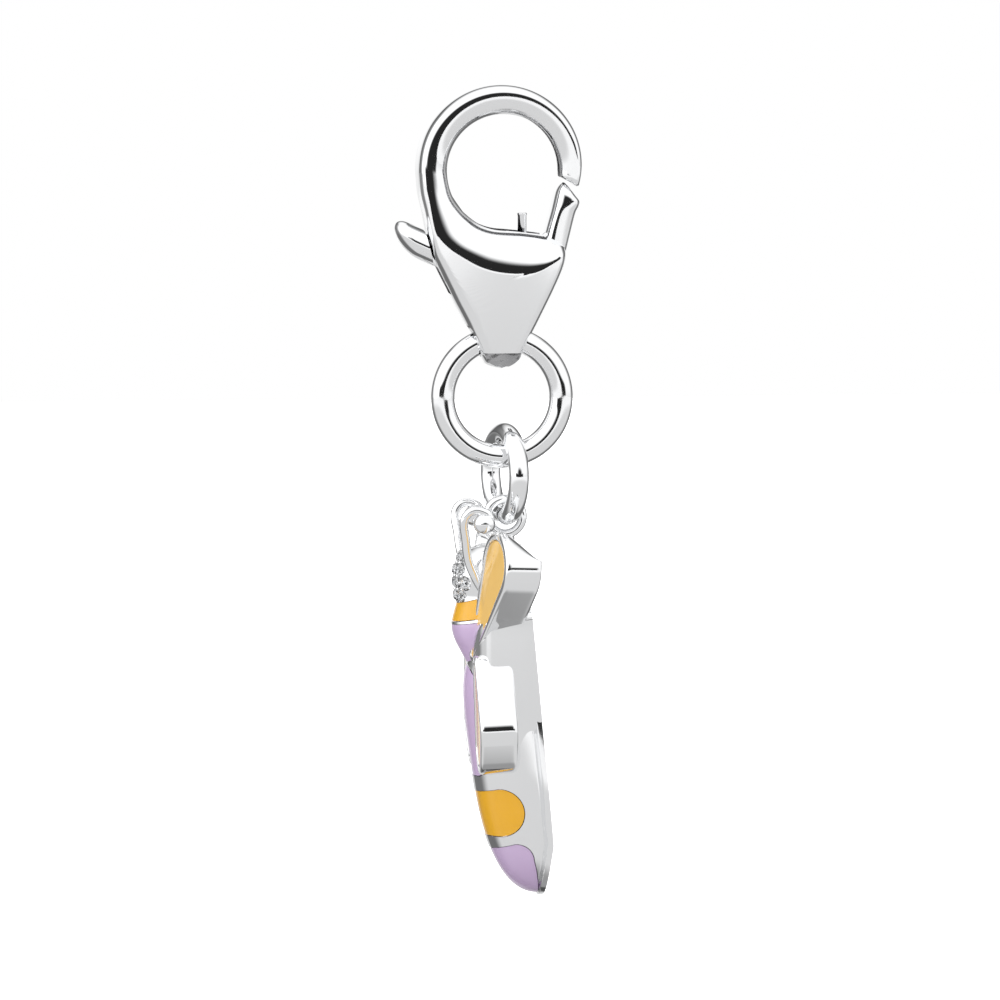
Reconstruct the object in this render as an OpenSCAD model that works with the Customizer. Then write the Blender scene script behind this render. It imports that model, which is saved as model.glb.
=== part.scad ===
// Bee charm on a lobster clasp, in millimetres.
// The origin is the inside top of the clasp's hook, where it hangs. +Z is up, the clasp's
// broad side faces -Y and the bee's front faces -X.

/* [Clasp] */
// Radius of the eye inside the hook
eye_r = 2.4; // [2.35:0.05:2.5]
// Width of the slot that the lever moves in
slot_w = 1.3; // [1.3:0.05:1.4]
// Thickness of the lever's arm
lever_w = 1.1; // [1:0.05:1.15]
// Radius of the rivet that the lever turns on
rivet_r = 0.4; // [0.35:0.05:0.45]

/* [Rings] */
// Radius of the jump ring, to the middle of its wire
jump_ring_r = 2.5; // [2.4:0.05:2.6]
// Radius of the jump ring's wire
jump_wire_r = 0.5; // [0.45:0.05:0.5]
// Radius of the small link, to the middle of its wire
link_r = 1.75; // [1.7:0.05:1.8]
// Radius of the small link's wire
link_wire_r = 0.42; // [0.38:0.02:0.42]

/* [Bee] */
// Turn of the bee about the vertical
bee_turn = 0; // [-3:1:6]
// Turn of the small link about the vertical
link_turn = 14; // [8:1:16]
// Largest radius of the abdomen
abdomen_r = 2.34; // [2.25:0.05:2.4]
// Thickness of the upper wings
upper_wing_t = 1.4; // [1.3:0.1:1.5]
// Thickness of the lower wings
lower_wing_t = 1.6; // [1.5:0.1:1.7]
// Depth of the enamel
enamel_t = 0.26; // [0.2:0.02:0.3]
// Width of a head stone across its girdle
stone_d = 0.58; // [0.5:0.02:0.58]

/* [Hidden] */
$fn = 48;
gap = 0.03;
stone_count = 12;
sides = ["left", "right"];

silver = [0.86, 0.87, 0.88];
lilac = [0.76, 0.67, 0.79];
yellow = [0.89, 0.67, 0.18];
pale_yellow = [0.94, 0.75, 0.43];
clear = [0.9, 0.93, 0.96];

// Heights on the hanging axis, and where the bee's loop hangs on the link
eye_z = -eye_r;
tail_z = -9.44;
jump_ring_z = tail_z - jump_ring_r;
link_z = tail_z - 2 * jump_ring_r + jump_wire_r + link_wire_r + 0.1 - link_r;
bee_z = link_z - link_r;
hang_x = 0.12;
pivot = [-0.93, -6.95];

// Smooth curve through rows of a table
function curve(p, q, r, s, t) =
    0.5 * (2 * q + (r - p) * t + (2 * p - 5 * q + 4 * r - s) * t * t
    + (3 * q - p - 3 * r + s) * t * t * t);
function row(table, i) = table[max(0, min(len(table) - 1, i))];
function through(table, steps) = [
    for (i = [0 : len(table) - 2], k = [0 : steps - 1])
        curve(row(table, i - 1), row(table, i), row(table, i + 1), row(table, i + 2), k / steps),
    table[len(table) - 1]];

// A skin over rings of equally many points, closed at both ends
module skin(rings) {
    n = len(rings[0]);
    m = len(rings);
    points = [for (ring = rings) each ring];
    faces = concat(
        [[for (j = [0 : n - 1]) j]],
        [[for (j = [n - 1 : -1 : 0]) (m - 1) * n + j]],
        [for (i = [0 : m - 2], j = [0 : n - 1], half = [0, 1])
            let (a = i * n + j, b = i * n + (j + 1) % n, c = a + n, d = b + n)
            half == 0 ? [a, c, b] : [b, c, d]]);
    polyhedron(points, faces, convexity = 6);
}

// One section of the clasp: an oval with square shoulders from the outer to the inner edge
function power(x, e) = sign(x) * pow(abs(x), e);
function clasp_section(s) =
    let (mid = [(s[0] + s[2]) / 2, (s[1] + s[3]) / 2],
         reach = [(s[0] - s[2]) / 2, (s[1] - s[3]) / 2],
         depth = s[4], e = 2 / s[5])
    [for (a = [0 : 22.5 : 337.5])
        [mid.x + reach.x * power(cos(a), e), depth * power(sin(a), e),
         mid.y + reach.y * power(cos(a), e)]];

// Hook, from its tip over the top to the left side
hook_steps = 15;
hook_rows = [
    for (i = [0 : hook_steps])
        let (f = i / hook_steps,
             outer_a = -11 + 191 * f, inner_a = -2 + 182 * f,
             outer_r = eye_r + 0.88 + 0.4 * sin(min(90, 130 * f)),
             depth = 0.85 + 0.3 * f)
        [outer_r * cos(outer_a), eye_z + outer_r * sin(outer_a),
         eye_r * cos(inner_a), eye_z + eye_r * sin(inner_a), depth, 2.3]];

// Body: outer x, outer z, inner x, inner z, half depth, squareness
body_rows = [
    [-3.68, -2.40, -2.40, -2.40, 1.15, 2.3],
    [-3.55, -3.30, -2.15, -3.45, 1.20, 2.3],
    [-3.28, -4.30, -1.35, -4.40, 1.28, 2.4],
    [-3.05, -5.35, -0.10, -4.90, 1.38, 2.6],
    [-2.90, -6.25, 1.95, -4.95, 1.46, 3.0],
    [-2.35, -7.25, 2.70, -5.80, 1.50, 3.2],
    [-1.85, -8.20, 2.10, -7.30, 1.34, 3.2],
    [-1.25, -9.40, 1.25, -9.20, 1.18, 3.2],
    [-0.72, -10.45, 0.70, -10.45, 1.05, 2.6],
    [-0.50, -10.70, 0.48, -10.70, 0.70, 2.4]];

// The lever's slot, seen from the front, with room for its whole travel
slot_outline = [
    [-4.6, -4.1], [3.6, -4.1], [3.6, -6.15], [2.2, -6.45], [1.0, -7.35], [-0.3, -7.95],
    [-1.7, -7.95], [-2.4, -7.6], [-4.6, -7.6]];

// Turns a shape drawn as seen from the front, x across and y up, to stand across Y
module from_front(depth) {
    translate([0, depth / 2, 0]) rotate([90, 0, 0]) linear_extrude(depth) children();
}

// Hole across the tail, wider at both mouths to follow the bent wire
module tail_hole() {
    reach = 1.5;
    steps = 6;
    function mouth(x) = jump_wire_r + 0.11 + jump_ring_r - sqrt(jump_ring_r * jump_ring_r - x * x);
    profile = concat(
        [[0, -reach]],
        [for (i = [-steps : steps]) [mouth(reach * i / steps), reach * i / steps]],
        [[0, reach]]);
    translate([0, 0, tail_z]) rotate([0, 90, 0]) rotate_extrude() polygon(profile);
}

module clasp_body() {
    groove_w = 0.8;
    groove_depth = 0.4;
    socket_depth = 0.4;
    color(silver) difference() {
        skin([for (s = concat(hook_rows, through(body_rows, 3))) clasp_section(s)]);
        translate([0, 0, eye_z]) rotate([90, 0, 0])
            cylinder(r = eye_r + groove_depth, h = groove_w, center = true);
        from_front(slot_w) polygon(slot_outline);
        translate([pivot.x, 0, pivot.y]) rotate([90, 0, 0])
            cylinder(r = rivet_r + 0.01, h = slot_w + 2 * socket_depth + 0.02, center = true);
        tail_hole();
    }
}

module clasp_rivet() {
    color(silver) translate([pivot.x, 0, pivot.y]) rotate([90, 0, 0])
        cylinder(r = rivet_r, h = slot_w + 0.8, center = true);
}

// Lever outlines, seen from the front
gate_outline = [
    [1.80, -4.95], [2.02, -4.12], [2.21, -3.33], [2.30, -3.10], [2.53, -2.90], [2.74, -3.03],
    [2.99, -3.37], [3.24, -3.66], [3.24, -3.87], [3.07, -4.21], [2.86, -5.05], [2.62, -5.85]];
arm_outline = [
    [-3.30, -4.95], [-2.75, -5.35], [-1.20, -6.15], [-0.20, -6.05], [1.00, -5.60], [1.80, -4.95],
    [2.62, -5.85], [1.60, -6.35], [0.20, -7.25], [-1.00, -7.55], [-2.75, -6.55], [-3.60, -6.15]];

module clasp_lever() {
    gate_w = 1.7;
    thumb_w = 1.9;
    color(silver) difference() {
        union() {
            from_front(lever_w) polygon(arm_outline);
            intersection() {
                from_front(gate_w) polygon(gate_outline);
                translate([-5, -3, -4.75]) cube([10, 6, 6]);
            }
            from_front(lever_w) polygon(gate_outline);
            hull() {
                for (side = [-1, 1]) {
                    translate([-4.0, side * (thumb_w / 2 - 0.54), -4.93]) sphere(r = 0.54, $fn = 20);
                    translate([-3.4, side * 0.2, -5.6]) sphere(r = 0.44, $fn = 20);
                }
            }
        }
        translate([pivot.x, 0, pivot.y]) rotate([90, 0, 0])
            cylinder(r = rivet_r + 0.03, h = 4, center = true);
    }
}

module clasp_spring() {
    wire_r = 0.17;
    color(silver) translate([0.85, 0, 0]) {
        translate([0, 0, -5.55]) cylinder(r = wire_r, h = 1.25, $fn = 20);
        translate([0, 0, -4.3]) sphere(r = wire_r, $fn = 20);
    }
}

module ring(r, wire_r) {
    rotate([90, 0, 0]) rotate_extrude() translate([r, 0]) circle(r = wire_r, $fn = 32);
}

module jump_ring() {
    color(silver) translate([0, 0, jump_ring_z]) ring(jump_ring_r, jump_wire_r);
}

module link_ring() {
    color(silver) translate([hang_x, 0, link_z]) rotate([0, 0, 90 + link_turn]) ring(link_r, link_wire_r);
}

// Everything below is drawn in the bee's own frame: x back, y across, z up from the hinge point
module in_bee_frame() {
    translate([hang_x, 0, bee_z]) rotate([0, 0, bee_turn]) children();
}

// Abdomen: a round body turned about a line that leans back towards the tail tip
abdomen_l = 10.9;
abdomen_widest = 5.6;
abdomen_lean = 8.2;
tail_tip = [1.70, -16.0];
function abdomen_radius(h) =
    h < abdomen_widest
    ? abdomen_r * pow(max(0, 1 - pow((abdomen_widest - h) / abdomen_widest, 2.5)), 0.4)
    : abdomen_r * pow(max(0, 1 - pow((h - abdomen_widest) / (abdomen_l - abdomen_widest), 4)), 0.25);
abdomen_steps = 20;
function abdomen_profile(inset) = concat(
    [[0, inset]],
    [for (i = [1 : abdomen_steps - 1])
        let (h = abdomen_l / 2 * (1 - cos(180 * i / abdomen_steps)))
        [max(0.05, abdomen_radius(h) - inset), inset + h * (abdomen_l - 2 * inset) / abdomen_l]],
    [[0, abdomen_l - inset]]);
module abdomen(inset) {
    translate([tail_tip.x, 0, tail_tip.y]) rotate([0, -abdomen_lean, 0])
        rotate_extrude() polygon(abdomen_profile(inset));
}

// Torso: head above thorax, height and radius
torso_x = -0.6;
torso_rows = [
    [-6.05, 0.60], [-5.80, 1.15], [-5.45, 1.52], [-5.05, 1.68], [-4.65, 1.70], [-4.20, 1.62],
    [-3.75, 1.50], [-3.40, 1.42], [-3.05, 1.45], [-2.60, 1.50], [-2.15, 1.46], [-1.75, 1.30],
    [-1.45, 1.02], [-1.25, 0.62]];
torso_mid = -3.65;
torso_half = 2.4;
function torso_z(z, inset) = z - inset * (z - torso_mid) / torso_half;
module torso(inset) {
    last = len(torso_rows) - 1;
    translate([torso_x, 0, 0]) rotate_extrude() polygon(concat(
        [[0, torso_z(torso_rows[0][0], inset)]],
        [for (r = torso_rows) [r[1] - inset, torso_z(r[0], inset)]],
        [[0, torso_z(torso_rows[last][0], inset)]]));
}

// Flat back, leaning like the abdomen, and turned in again at the tail
back_x = 1.06;
back_z = -5.6;
back_lean = 5.7;
tail_back = [1.88, -13.8];
tail_back_lean = 7;
module behind_back(ahead) {
    translate([back_x - ahead, -5, back_z]) rotate([0, -back_lean, 0])
        translate([0, 0, -12]) cube([4, 10, 20]);
    translate([tail_back.x - ahead, -5, tail_back.y]) rotate([0, tail_back_lean, 0])
        translate([0, 0, -4]) cube([4, 10, 5]);
}

// Cells seen from the side, x back and y up
module seen_from_side() {
    translate([0, 5, 0]) rotate([90, 0, 0]) linear_extrude(10) children();
}
function arc(centre, r, from, to) = [
    for (a = [from : -15 : to]) centre + r * [cos(a), sin(a)]];
module upper_cell(grow) {
    polygon(concat([[-3, -5.6 + grow], [-1.6 + grow, -5.6 + grow]],
        arc([-0.75, -8.1], 0.7 + grow, 45, 0), arc([-0.75, -10.45], 0.7 + grow, 0, -60),
        [[-1.3, -11.35 - grow], [-3, -11.72 - grow]]));
}
module middle_cell(grow) {
    polygon(concat([[-3, -11.95 + grow]], arc([-0.05, -12.65], 1.02 + grow, 90, -90),
        [[-3, -13.5 - grow]]));
}
module tip_cell(grow) {
    polygon(concat([[-3, -14.0 + grow]], arc([0.95, -14.7], 0.55 + grow, 90, 0),
        [[1.5 + grow, -17], [-3, -17]]));
}
module yellow_thorax_cell(grow) {
    polygon([[-3, -3.95 + grow], [-0.9 + grow, -3.3 + grow], [-0.9 + grow, -4.22 - grow],
        [-3, -4.6 - grow]]);
}
module lilac_thorax_cell(grow) {
    polygon([[-3, -4.7 + grow], [-0.9 + grow, -4.32 + grow], [-0.9 + grow, -5.15 - grow],
        [-3, -5.35 - grow]]);
}

// Wings: an outline stretched round circles, from the root to the end.
// Columns: y, z, radius, share of an inset that the circle takes
upper_wing = [
    [1.15, -5.75, 0.35, 0.6],
    [3.25, -1.92, 1.5, 1]];
lower_wing = [
    [1.9, -6.35, 0.6, 0.8],
    [2.2, -8.85, 1.35, 1],
    [1.95, -9.6, 1.2, 1]];
function stretched(circles, inset, a) =
    let (u = [cos(a), sin(a)],
         reaches = [for (c = circles) c[0] * u.x + c[1] * u.y + c[2] - inset * c[3]],
         c = [for (i = [0 : len(circles) - 1]) if (reaches[i] == max(reaches)) circles[i]][0])
    [c[0], c[1]] + (c[2] - inset * c[3]) * u;
module wing_outline(circles, inset) {
    polygon([for (a = [0 : 7.5 : 359]) stretched(circles, inset, a)]);
}
// Places an outline's extrusion, from depth a to depth b behind the wing's front face. The face
// leans by tilt from the wings' root height and sweeps back towards the wing's end
wing_root_z = -5.8;
module wing_slab(front_x, sweep, tilt, a, b) {
    translate([front_x, 0, wing_root_z]) rotate([0, tilt, -sweep]) translate([0, 0, -wing_root_z])
        rotate([90, 0, 90]) translate([0, 0, a]) linear_extrude(b - a) children();
}
module upper_wing_slab(a, b) {
    wing_slab(-1.81, 15, 2.9, a, b) children();
}
module lower_wing_slab(a, b) {
    wing_slab(-1.52, 0, -2.6, a, b) children();
}
rim = 0.32;

// Plate that joins the wings to the body, with upright side walls and a raised lower end behind.
// Columns of its edge from the top down: share of the half width, height
plate_edge = [
    [0.45, -3.60], [0.75, -3.95], [0.94, -4.55], [1, -5.30], [0.944, -9.40], [0.90, -10.05],
    [0.76, -10.50], [0.55, -10.75], [0.28, -10.86]];
// Columns from the front back: x, half width, share of the height
plate_rows = [
    [-1.45, 1.25, 0.45],
    [-1.30, 1.80, 0.62],
    [-1.10, 2.20, 0.80],
    [-0.90, 2.45, 0.93],
    [-0.70, 2.50, 1],
    [0.15, 2.50, 0.966],
    [0.75, 2.49, 0.89],
    [1.08, 2.48, 0.834],
    [1.75, 2.44, 0.70]];
module wing_plate(grow) {
    top = plate_edge[0][1];
    function edge(e, r) = [e[0] * r[1] + grow, top + (e[1] - top) * r[2] - grow];
    skin([for (r = plate_rows)
        let (x = r[0] - (r[0] < 0 ? grow : 0), side = [for (e = plate_edge) edge(e, r)])
        concat([for (p = side) [x, -p[0], p[1]]],
            [for (i = [len(side) - 1 : -1 : 0]) [x, side[i][0], side[i][1]]])]);
}

module wings() {
    upper_wing_slab(0, upper_wing_t) wing_outline(upper_wing, 0);
    lower_wing_slab(0, lower_wing_t) wing_outline(lower_wing, 0);
}
module wing_cells() {
    upper_wing_slab(-0.2, enamel_t + gap) wing_outline(upper_wing, rim);
    lower_wing_slab(-0.2, enamel_t + gap) wing_outline(lower_wing, rim);
}
module upper_wing_enamel() {
    difference() {
        upper_wing_slab(0, enamel_t) wing_outline(upper_wing, rim + gap);
        torso(-gap);
    }
}
module lower_wing_enamel() {
    lower_wing_slab(0, enamel_t) wing_outline(lower_wing, rim + gap);
}

// Antenna: a wire from the head's side that rises, curls back over and ends in a ball
antenna_r = 0.19;
antenna_rows = [
    [-1.00, 1.10, -3.20], [-1.42, 1.42, -2.45], [-1.70, 1.52, -1.75], [-1.83, 1.72, -0.85],
    [-1.92, 1.90, -0.20], [-1.78, 1.97, 0.20], [-1.42, 2.00, 0.38], [-1.00, 2.00, 0.25]];
function unit(v) = v / norm(v);
// Rings of a tube along a path that mostly runs in the plane across Y
function tube_rings(path, r, sides) = [
    for (i = [0 : len(path) - 1])
        let (along = unit(row(path, i + 1) - row(path, i - 1)),
             u = unit(cross([0, 1, 0], along)), v = cross(along, u))
        [for (a = [0 : 360 / sides : 359]) path[i] + r * (cos(a) * u + sin(a) * v)]];
module antenna() {
    skin(tube_rings(through(antenna_rows, 3), antenna_r, 8));
    translate([-1.07, 2.0, -0.19]) sphere(r = 0.47, $fn = 32);
}

module loop() {
    loop_r = 0.74;
    loop_wire_r = 0.2;
    translate([0, 0, -0.06]) ring(loop_r, loop_wire_r);
    translate([0, 0, -1.7]) cylinder(r = 0.42, h = 0.85, $fn = 32);
}

// Head stones, a row for each height: height, head's radius there, lean of its surface, count
stone_rows = [
    [-1.72, 1.28, 32, 2],
    [-2.25, 1.47, 12, 3],
    [-2.80, 1.48, -3, 4],
    [-3.34, 1.43, -4, 3]];
stone_pitch = 25;
stone_places = [
    for (r = stone_rows, k = [0 : r[3] - 1])
        [r[0], r[1], r[2], (k - (r[3] - 1) / 2) * stone_pitch]];
module at_stone(i) {
    place = stone_places[i];
    translate([torso_x, 0, place[0]]) rotate([0, 0, 180 + place[3]])
        translate([place[1], 0, 0]) rotate([0, 90 - place[2], 0]) children();
}
// A cut stone: table, eight crown facets and eight below the girdle
module cut_stone() {
    girdle_r = stone_d / 2;
    translate([0, 0, 0.04]) cylinder(r1 = girdle_r, r2 = girdle_r * 0.58, h = 0.13, $fn = 8);
    cylinder(r = girdle_r, h = 0.04, $fn = 8);
    translate([0, 0, -0.26]) cylinder(r1 = girdle_r * 0.12, r2 = girdle_r, h = 0.26, $fn = 8);
}
module stone_seat() {
    seat_r = stone_d / 2 + gap;
    cylinder(r = seat_r, h = 0.2, $fn = 24);
    translate([0, 0, -0.32]) cylinder(r1 = seat_r * 0.3, r2 = seat_r, h = 0.32, $fn = 24);
}

module cells_cut(grow) {
    difference() {
        seen_from_side() {
            upper_cell(grow);
            middle_cell(grow);
            tip_cell(grow);
        }
        abdomen(enamel_t + gap);
    }
}

module bee_casting() {
    color(silver) in_bee_frame() difference() {
        union() {
            difference() {
                abdomen(0);
                cells_cut(0);
            }
            difference() {
                torso(0);
                difference() {
                    seen_from_side() {
                        yellow_thorax_cell(0);
                        lilac_thorax_cell(0);
                    }
                    torso(enamel_t + gap);
                }
            }
            for (side = [0, 1]) mirror([0, side, 0]) {
                difference() {
                    wings();
                    wing_cells();
                }
                antenna();
            }
            difference() {
                wing_plate(0);
                for (side = [0, 1]) mirror([0, side, 0]) wing_cells();
            }
            loop();
        }
        behind_back(0);
        for (i = [0 : stone_count - 1]) at_stone(i) stone_seat();
    }
}

module abdomen_enamel() {
    intersection() {
        difference() {
            abdomen(0);
            abdomen(enamel_t);
            behind_back(gap);
        }
        seen_from_side() children();
    }
}
module clear_of_wings() {
    difference() {
        children();
        wing_plate(gap);
        for (side = [0, 1]) mirror([0, side, 0]) {
            upper_wing_slab(-gap, upper_wing_t + gap) wing_outline(upper_wing, -gap);
            lower_wing_slab(-gap, lower_wing_t + gap) wing_outline(lower_wing, -gap);
        }
    }
}

module abdomen_enamel_upper() {
    color(lilac) in_bee_frame() difference() {
        clear_of_wings() abdomen_enamel() upper_cell(-gap);
        torso(-gap);
    }
}
module abdomen_enamel_middle() {
    color(yellow) in_bee_frame() abdomen_enamel() middle_cell(-gap);
}
module abdomen_enamel_tip() {
    color(lilac) in_bee_frame() abdomen_enamel() tip_cell(-gap);
}
module torso_enamel() {
    clear_of_wings() intersection() {
        difference() {
            torso(0);
            torso(enamel_t);
        }
        seen_from_side() children();
    }
}
module thorax_enamel_yellow() {
    color(yellow) in_bee_frame() torso_enamel() yellow_thorax_cell(-gap);
}
module thorax_enamel_lilac() {
    color(lilac) in_bee_frame() torso_enamel() lilac_thorax_cell(-gap);
}
module head_stone(i) {
    color(clear) in_bee_frame() at_stone(i) cut_stone();
}

clasp_body();
clasp_lever();
clasp_rivet();
clasp_spring();
jump_ring();
link_ring();
bee_casting();
thorax_enamel_yellow();
thorax_enamel_lilac();
abdomen_enamel_upper();
abdomen_enamel_middle();
abdomen_enamel_tip();
for (i = [0, 1]) {
    color(pale_yellow) in_bee_frame() mirror([0, i, 0]) upper_wing_enamel();
    color(pale_yellow) in_bee_frame() mirror([0, i, 0]) lower_wing_enamel();
}
for (i = [1 : stone_count])
    head_stone(i - 1);
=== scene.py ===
from math import copysign, cos, exp, pi, radians, sin, sqrt, tan

import bmesh
import bpy
import numpy as np
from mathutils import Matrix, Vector, noise


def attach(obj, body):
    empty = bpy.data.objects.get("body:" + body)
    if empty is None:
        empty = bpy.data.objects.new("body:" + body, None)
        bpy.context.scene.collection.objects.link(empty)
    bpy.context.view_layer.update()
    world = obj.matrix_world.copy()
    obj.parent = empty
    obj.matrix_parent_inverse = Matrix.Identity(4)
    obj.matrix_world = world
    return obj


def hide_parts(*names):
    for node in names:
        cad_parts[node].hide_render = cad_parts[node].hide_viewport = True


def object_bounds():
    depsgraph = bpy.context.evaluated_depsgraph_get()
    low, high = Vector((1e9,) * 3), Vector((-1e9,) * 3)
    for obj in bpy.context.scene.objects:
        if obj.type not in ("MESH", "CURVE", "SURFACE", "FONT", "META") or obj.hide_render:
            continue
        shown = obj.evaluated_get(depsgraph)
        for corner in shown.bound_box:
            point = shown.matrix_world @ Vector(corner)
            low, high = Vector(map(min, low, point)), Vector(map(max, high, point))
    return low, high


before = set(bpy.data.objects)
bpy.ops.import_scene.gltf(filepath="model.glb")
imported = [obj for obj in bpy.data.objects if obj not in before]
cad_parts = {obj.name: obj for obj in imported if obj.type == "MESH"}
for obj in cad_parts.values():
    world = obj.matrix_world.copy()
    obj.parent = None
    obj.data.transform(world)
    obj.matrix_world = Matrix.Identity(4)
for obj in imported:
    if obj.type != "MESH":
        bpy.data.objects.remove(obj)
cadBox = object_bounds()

mm = 0.001  # every length below is written in millimetres

cameraValues = {
    "azimuth": -6.0,
    "elevation": 5.0,
    "distance": 450.0,
    "frameWidth": 42.1,
    "target": (-0.08, 0.0, -16.29),
}


def viewDirection(azimuth, elevation):
    a, e = radians(azimuth), radians(elevation)
    return Vector((sin(a) * cos(e), -cos(a) * cos(e), sin(e)))


def makeCamera(values):
    data = bpy.data.cameras.new("photoCamera")
    data.sensor_width = 36.0
    data.lens = data.sensor_width * values["distance"] / values["frameWidth"]
    data.clip_start, data.clip_end = 0.01, 20.0
    camera = bpy.data.objects.new("photoCamera", data)
    bpy.context.scene.collection.objects.link(camera)
    back = viewDirection(values["azimuth"], values["elevation"])
    camera.location = Vector(values["target"]) * mm + back * values["distance"] * mm
    camera.rotation_mode = "QUATERNION"
    camera.rotation_quaternion = (-back).to_track_quat("-Z", "Y")
    bpy.context.scene.camera = camera


makeCamera(cameraValues)
print("camera made")


# small helpers for node trees
def setInputs(tree, node, inputs):
    # a socket given as a value is linked
    for name, value in inputs.items():
        if isinstance(value, bpy.types.NodeSocket):
            tree.links.new(value, node.inputs[name])
        else:
            node.inputs[name].default_value = value
    return node


def addNode(tree, kind, inputs=None, **settings):
    node = tree.nodes.new(kind)
    for name, value in settings.items():
        setattr(node, name, value)
    return setInputs(tree, node, inputs or {})


def mathNode(tree, operation, *values):
    return addNode(tree, "ShaderNodeMath", dict(enumerate(values)), operation=operation).outputs[0]


def product(tree, result, *factors):
    for factor in factors:
        result = mathNode(tree, "MULTIPLY", result, factor)
    return result


def stepNode(tree, value, low, high):
    # 0 below low, 1 above high, soft between; the other way round when low is the larger
    inputs = {"Value": value, "From Min": low, "From Max": high}
    return addNode(tree, "ShaderNodeMapRange", inputs, interpolation_type="SMOOTHSTEP").outputs["Result"]


def rampNode(tree, factor, stops):
    node = addNode(tree, "ShaderNodeValToRGB", {"Fac": factor})
    ramp = node.color_ramp
    ramp.interpolation = "EASE"
    while len(ramp.elements) < len(stops):
        ramp.elements.new(0.5)
    for element, (position, level) in zip(ramp.elements, stops):
        element.position = position
        element.color = (level, level, level, 1.0)
    return node.outputs["Color"]


studioValues = {
    "tentStrength": 1.1,
    # the tent's tone from its foot to its top, and from the camera's side to behind the charm
    "heightTones": [(0.0, 0.45), (0.25, 0.6), (0.42, 0.74), (0.53, 0.96), (0.6, 1.0), (1.0, 1.0)],
    "depthTones": [(0.0, 1.0), (0.55, 1.0), (0.68, 0.5), (0.80, 0.16), (0.93, 0.10), (0.965, 0.85), (1.0, 1.0)],
    "opening": (4.0, 3.5),       # azimuth and elevation of the tent's dark opening at the camera
    "openingHalf": (25.0, 12.5),
    "openingSoft": (1.30, 0.50),
    "gapBottom": (-8.5, -5.0),   # dark gap between the table's far edge and the tent
    "gapTop": (5.0, 1.5),
    "gapReach": (0.76, 0.60),
    "openAbove": (0.42, 0.88),   # height above which the tent is bright behind the charm too
    "sideLamp": (-0.35, -0.85),  # a lamp on the left, which lights the enamel
    "lampGain": 0.6,
    "dark": 0.02,
    "floorDrop": 12.0,
    "floorSize": 840.0,
    "floorTone": 0.66,
    "floorGrain": 0.03,
    "floorShade": (7.0, 16.0),   # radius of the charm's own soft shade on the table
    "shadeTone": 0.45,
    # painted shade: the table is darker near the charm, lighter from this far off
    "floorBright": (110.0, 220.0),
    "shadeFadeGain": 0.31,
    "floorBehind": (0.1, 0.55),  # painted shade: the table darkens behind the charm, as the tent does
    "floorStrip": (0.95, 0.88),  # but for a strip straight behind it
    "behindShadeLoss": 0.8,
}


def makeWorld(values):
    world = bpy.data.worlds.new("whiteTent")
    bpy.context.scene.world = world
    world.use_nodes = True
    tree = world.node_tree
    tree.nodes.clear()
    place = addNode(tree, "ShaderNodeTexCoord").outputs["Generated"]
    x, y, z = addNode(tree, "ShaderNodeSeparateXYZ", {"Vector": place}).outputs

    def sines(name):
        return [sin(radians(a)) for a in values[name]]

    byHeight = rampNode(tree, mathNode(tree, "MULTIPLY_ADD", z, 0.5, 0.5), values["heightTones"])
    # darker behind the charm, which draws its outlines
    byDepth = rampNode(tree, mathNode(tree, "MULTIPLY_ADD", y, 0.5, 0.5), values["depthTones"])
    byDepth = mathNode(tree, "MAXIMUM", byDepth, stepNode(tree, z, *values["openAbove"]))
    across, above = [
        mathNode(tree, "DIVIDE", mathNode(tree, "SUBTRACT", axis, middle), half)
        for axis, middle, half in zip((x, z), sines("opening"), sines("openingHalf"))]
    squares = mathNode(tree, "MULTIPLY_ADD", across, across, mathNode(tree, "POWER", above, 2.0))
    opening = stepNode(tree, mathNode(tree, "SQRT", squares), *values["openingSoft"])
    gap = product(tree, stepNode(tree, z, *sines("gapBottom")), stepNode(tree, z, *sines("gapTop")),
                  stepNode(tree, mathNode(tree, "ABSOLUTE", x), *values["gapReach"]))
    shade = product(tree, mathNode(tree, "MAXIMUM", opening, gap), mathNode(tree, "LESS_THAN", y, 0.0))
    keep = mathNode(tree, "MULTIPLY_ADD", shade, values["dark"] - 1.0, 1.0)
    lamp = mathNode(tree, "MULTIPLY_ADD", stepNode(tree, x, *values["sideLamp"]), values["lampGain"], 1.0)
    level = product(tree, byHeight, byDepth, keep, lamp, values["tentStrength"])
    # plain white behind the charm
    level = mathNode(tree, "MAXIMUM", level, addNode(tree, "ShaderNodeLightPath").outputs["Is Camera Ray"])
    background = addNode(tree, "ShaderNodeBackground", {"Color": level}).outputs["Background"]
    addNode(tree, "ShaderNodeOutputWorld", {"Surface": background})


makeWorld(studioValues)
bpy.context.scene.view_settings.view_transform = "Standard"
print("studio made")


# effects shared by the materials
def groupShell(name, inputs, outputs):
    # inputs come with their values, colours as tuples; an output named Color is a colour too
    group = bpy.data.node_groups.new(name, "ShaderNodeTree")
    for label, value in inputs.items():
        kind = "NodeSocketColor" if isinstance(value, tuple) else "NodeSocketFloat"
        group.interface.new_socket(name=label, in_out="INPUT", socket_type=kind).default_value = value
    for label in outputs:
        kind = "NodeSocketColor" if label == "Color" else "NodeSocketFloat"
        group.interface.new_socket(name=label, in_out="OUTPUT", socket_type=kind)
    return group, addNode(group, "NodeGroupInput").outputs, addNode(group, "NodeGroupOutput")


def noiseNode(tree, place, scale, size, detail, roughness):
    return addNode(tree, "ShaderNodeTexNoise", {
        "Vector": place, "Scale": mathNode(tree, "MULTIPLY", scale, size),
        "Detail": detail, "Roughness": roughness}).outputs["Fac"]


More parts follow.
